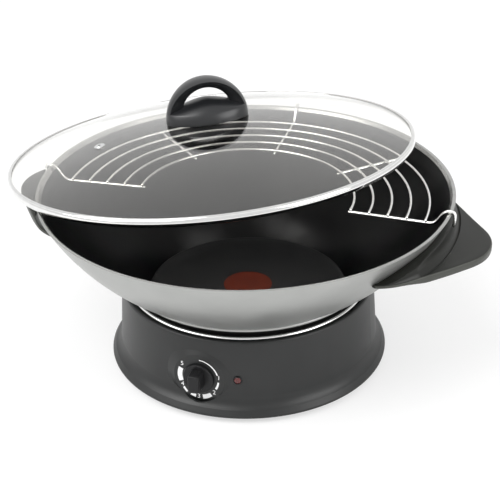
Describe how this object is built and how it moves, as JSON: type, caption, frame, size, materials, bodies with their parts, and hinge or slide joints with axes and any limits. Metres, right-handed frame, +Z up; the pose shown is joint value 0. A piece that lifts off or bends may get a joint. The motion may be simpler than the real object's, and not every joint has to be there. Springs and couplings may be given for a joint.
{
  "type": "electric wok",
  "caption": "Round deep pan with two side handles lifted out of a heated base with a turning heat knob, a half-round draining rack hooked over the rim and a glass lid laid ajar.",
  "frame": {"origin": "on the vertical axis of the base and bowl, at the height of the table under the feet", "axes": "+Z up, +X towards one side handle, -Y towards the control knob, +Y towards the cord gland"},
  "size_m": [0.4555, 0.4241, 0.2361],
  "materials": {
    "housing_plastic": "satin",
    "plate_plastic": "matte",
    "rubber": "matte",
    "bright_trim": "polished",
    "pan_steel": "bright rolled",
    "element_sheath": "oxidised",
    "zinc_steel": "zinc plated",
    "ceramic": "glazed ceramic",
    "brass": "bright",
    "cream_plastic": "satin",
    "copper": "bright copper",
    "brown_wire": "satin",
    "black_wire": "satin",
    "blue_wire": "satin",
    "earth_wire": "satin",
    "red_lens": "glossy",
    "neon_glass": "clear",
    "black_nylon": "satin",
    "knob_plastic": "satin",
    "bowl_coat": "satin",
    "handle_plastic": "satin",
    "plated_wire": "polished",
    "lid_glass": "clear",
    "band_steel": "polished",
    "lid_knob_plastic": "satin",
    "silicone": "matte"
  },
  "bodies": {
    "base": {"base_housing": "housing_plastic", "bottom_plate": "plate_plastic", "base_feet": "rubber", "base_screws": "zinc_steel", "trim_ring": "bright_trim", "reflector_pan": "pan_steel", "heating_element": "element_sheath", "element_brackets": "zinc_steel", "element_bushes": "ceramic", "element_terminals": "brass", "thermostat_body": "cream_plastic", "thermostat_bracket": "zinc_steel", "thermostat_nut": "brass", "sensor_cup": "zinc_steel", "sensor_spring": "zinc_steel", "sensor_holder": "zinc_steel", "capillary_tube": "copper", "thermal_fuse": "cream_plastic", "fuse_clip": "zinc_steel", "terminal_block": "cream_plastic", "live_lead": "brown_wire", "switched_lead": "black_wire", "neutral_lead": "blue_wire", "earth_lead": "earth_wire", "lamp_leads": "black_wire", "lamp_lens": "red_lens", "neon_lamp": "neon_glass", "cord_gland": "black_nylon", "gland_nut": "black_nylon"},
    "knob": {"control_knob": "knob_plastic", "thermostat_shaft": "brass", "knob_clip": "zinc_steel"},
    "bowl": {"wok_bowl": "bowl_coat", "handle_right": "handle_plastic", "handle_left": "handle_plastic", "handle_brackets": "zinc_steel", "handle_screws": "zinc_steel"},
    "rack": {"rack_arcs": "plated_wire", "rack_end_hook_right": "plated_wire", "rack_end_hook_left": "plated_wire", "rack_middle_hook": "plated_wire", "rack_cross_wires": "plated_wire"},
    "lid": {"lid_glass": "lid_glass", "lid_band": "band_steel", "lid_knob_base": "lid_knob_plastic", "lid_knob_loop": "lid_knob_plastic", "lid_knob_seal": "silicone", "lid_knob_washer": "band_steel", "lid_knob_screw": "band_steel", "steam_vent": "band_steel"}
  },
  "joints": [
    {"name": "knob_turn", "type": "hinge", "parent": "base", "child": "knob", "pos_m": [-0.0033, -0.118, 0.0368], "axis": [0, 1, 0], "range_deg": [0, 300]},
    {"name": "bowl_lift", "type": "slide", "parent": "base", "child": "bowl", "axis": [0, 0, 1], "range_m": [0, 0.15]},
    {"name": "rack_lift", "type": "slide", "parent": "bowl", "child": "rack", "axis": [0, 0, 1], "range_m": [0, 0.12]},
    {"name": "lid_lift", "type": "slide", "parent": "rack", "child": "lid", "axis": [0, 0, 1], "range_m": [0, 0.15]}
  ]
}
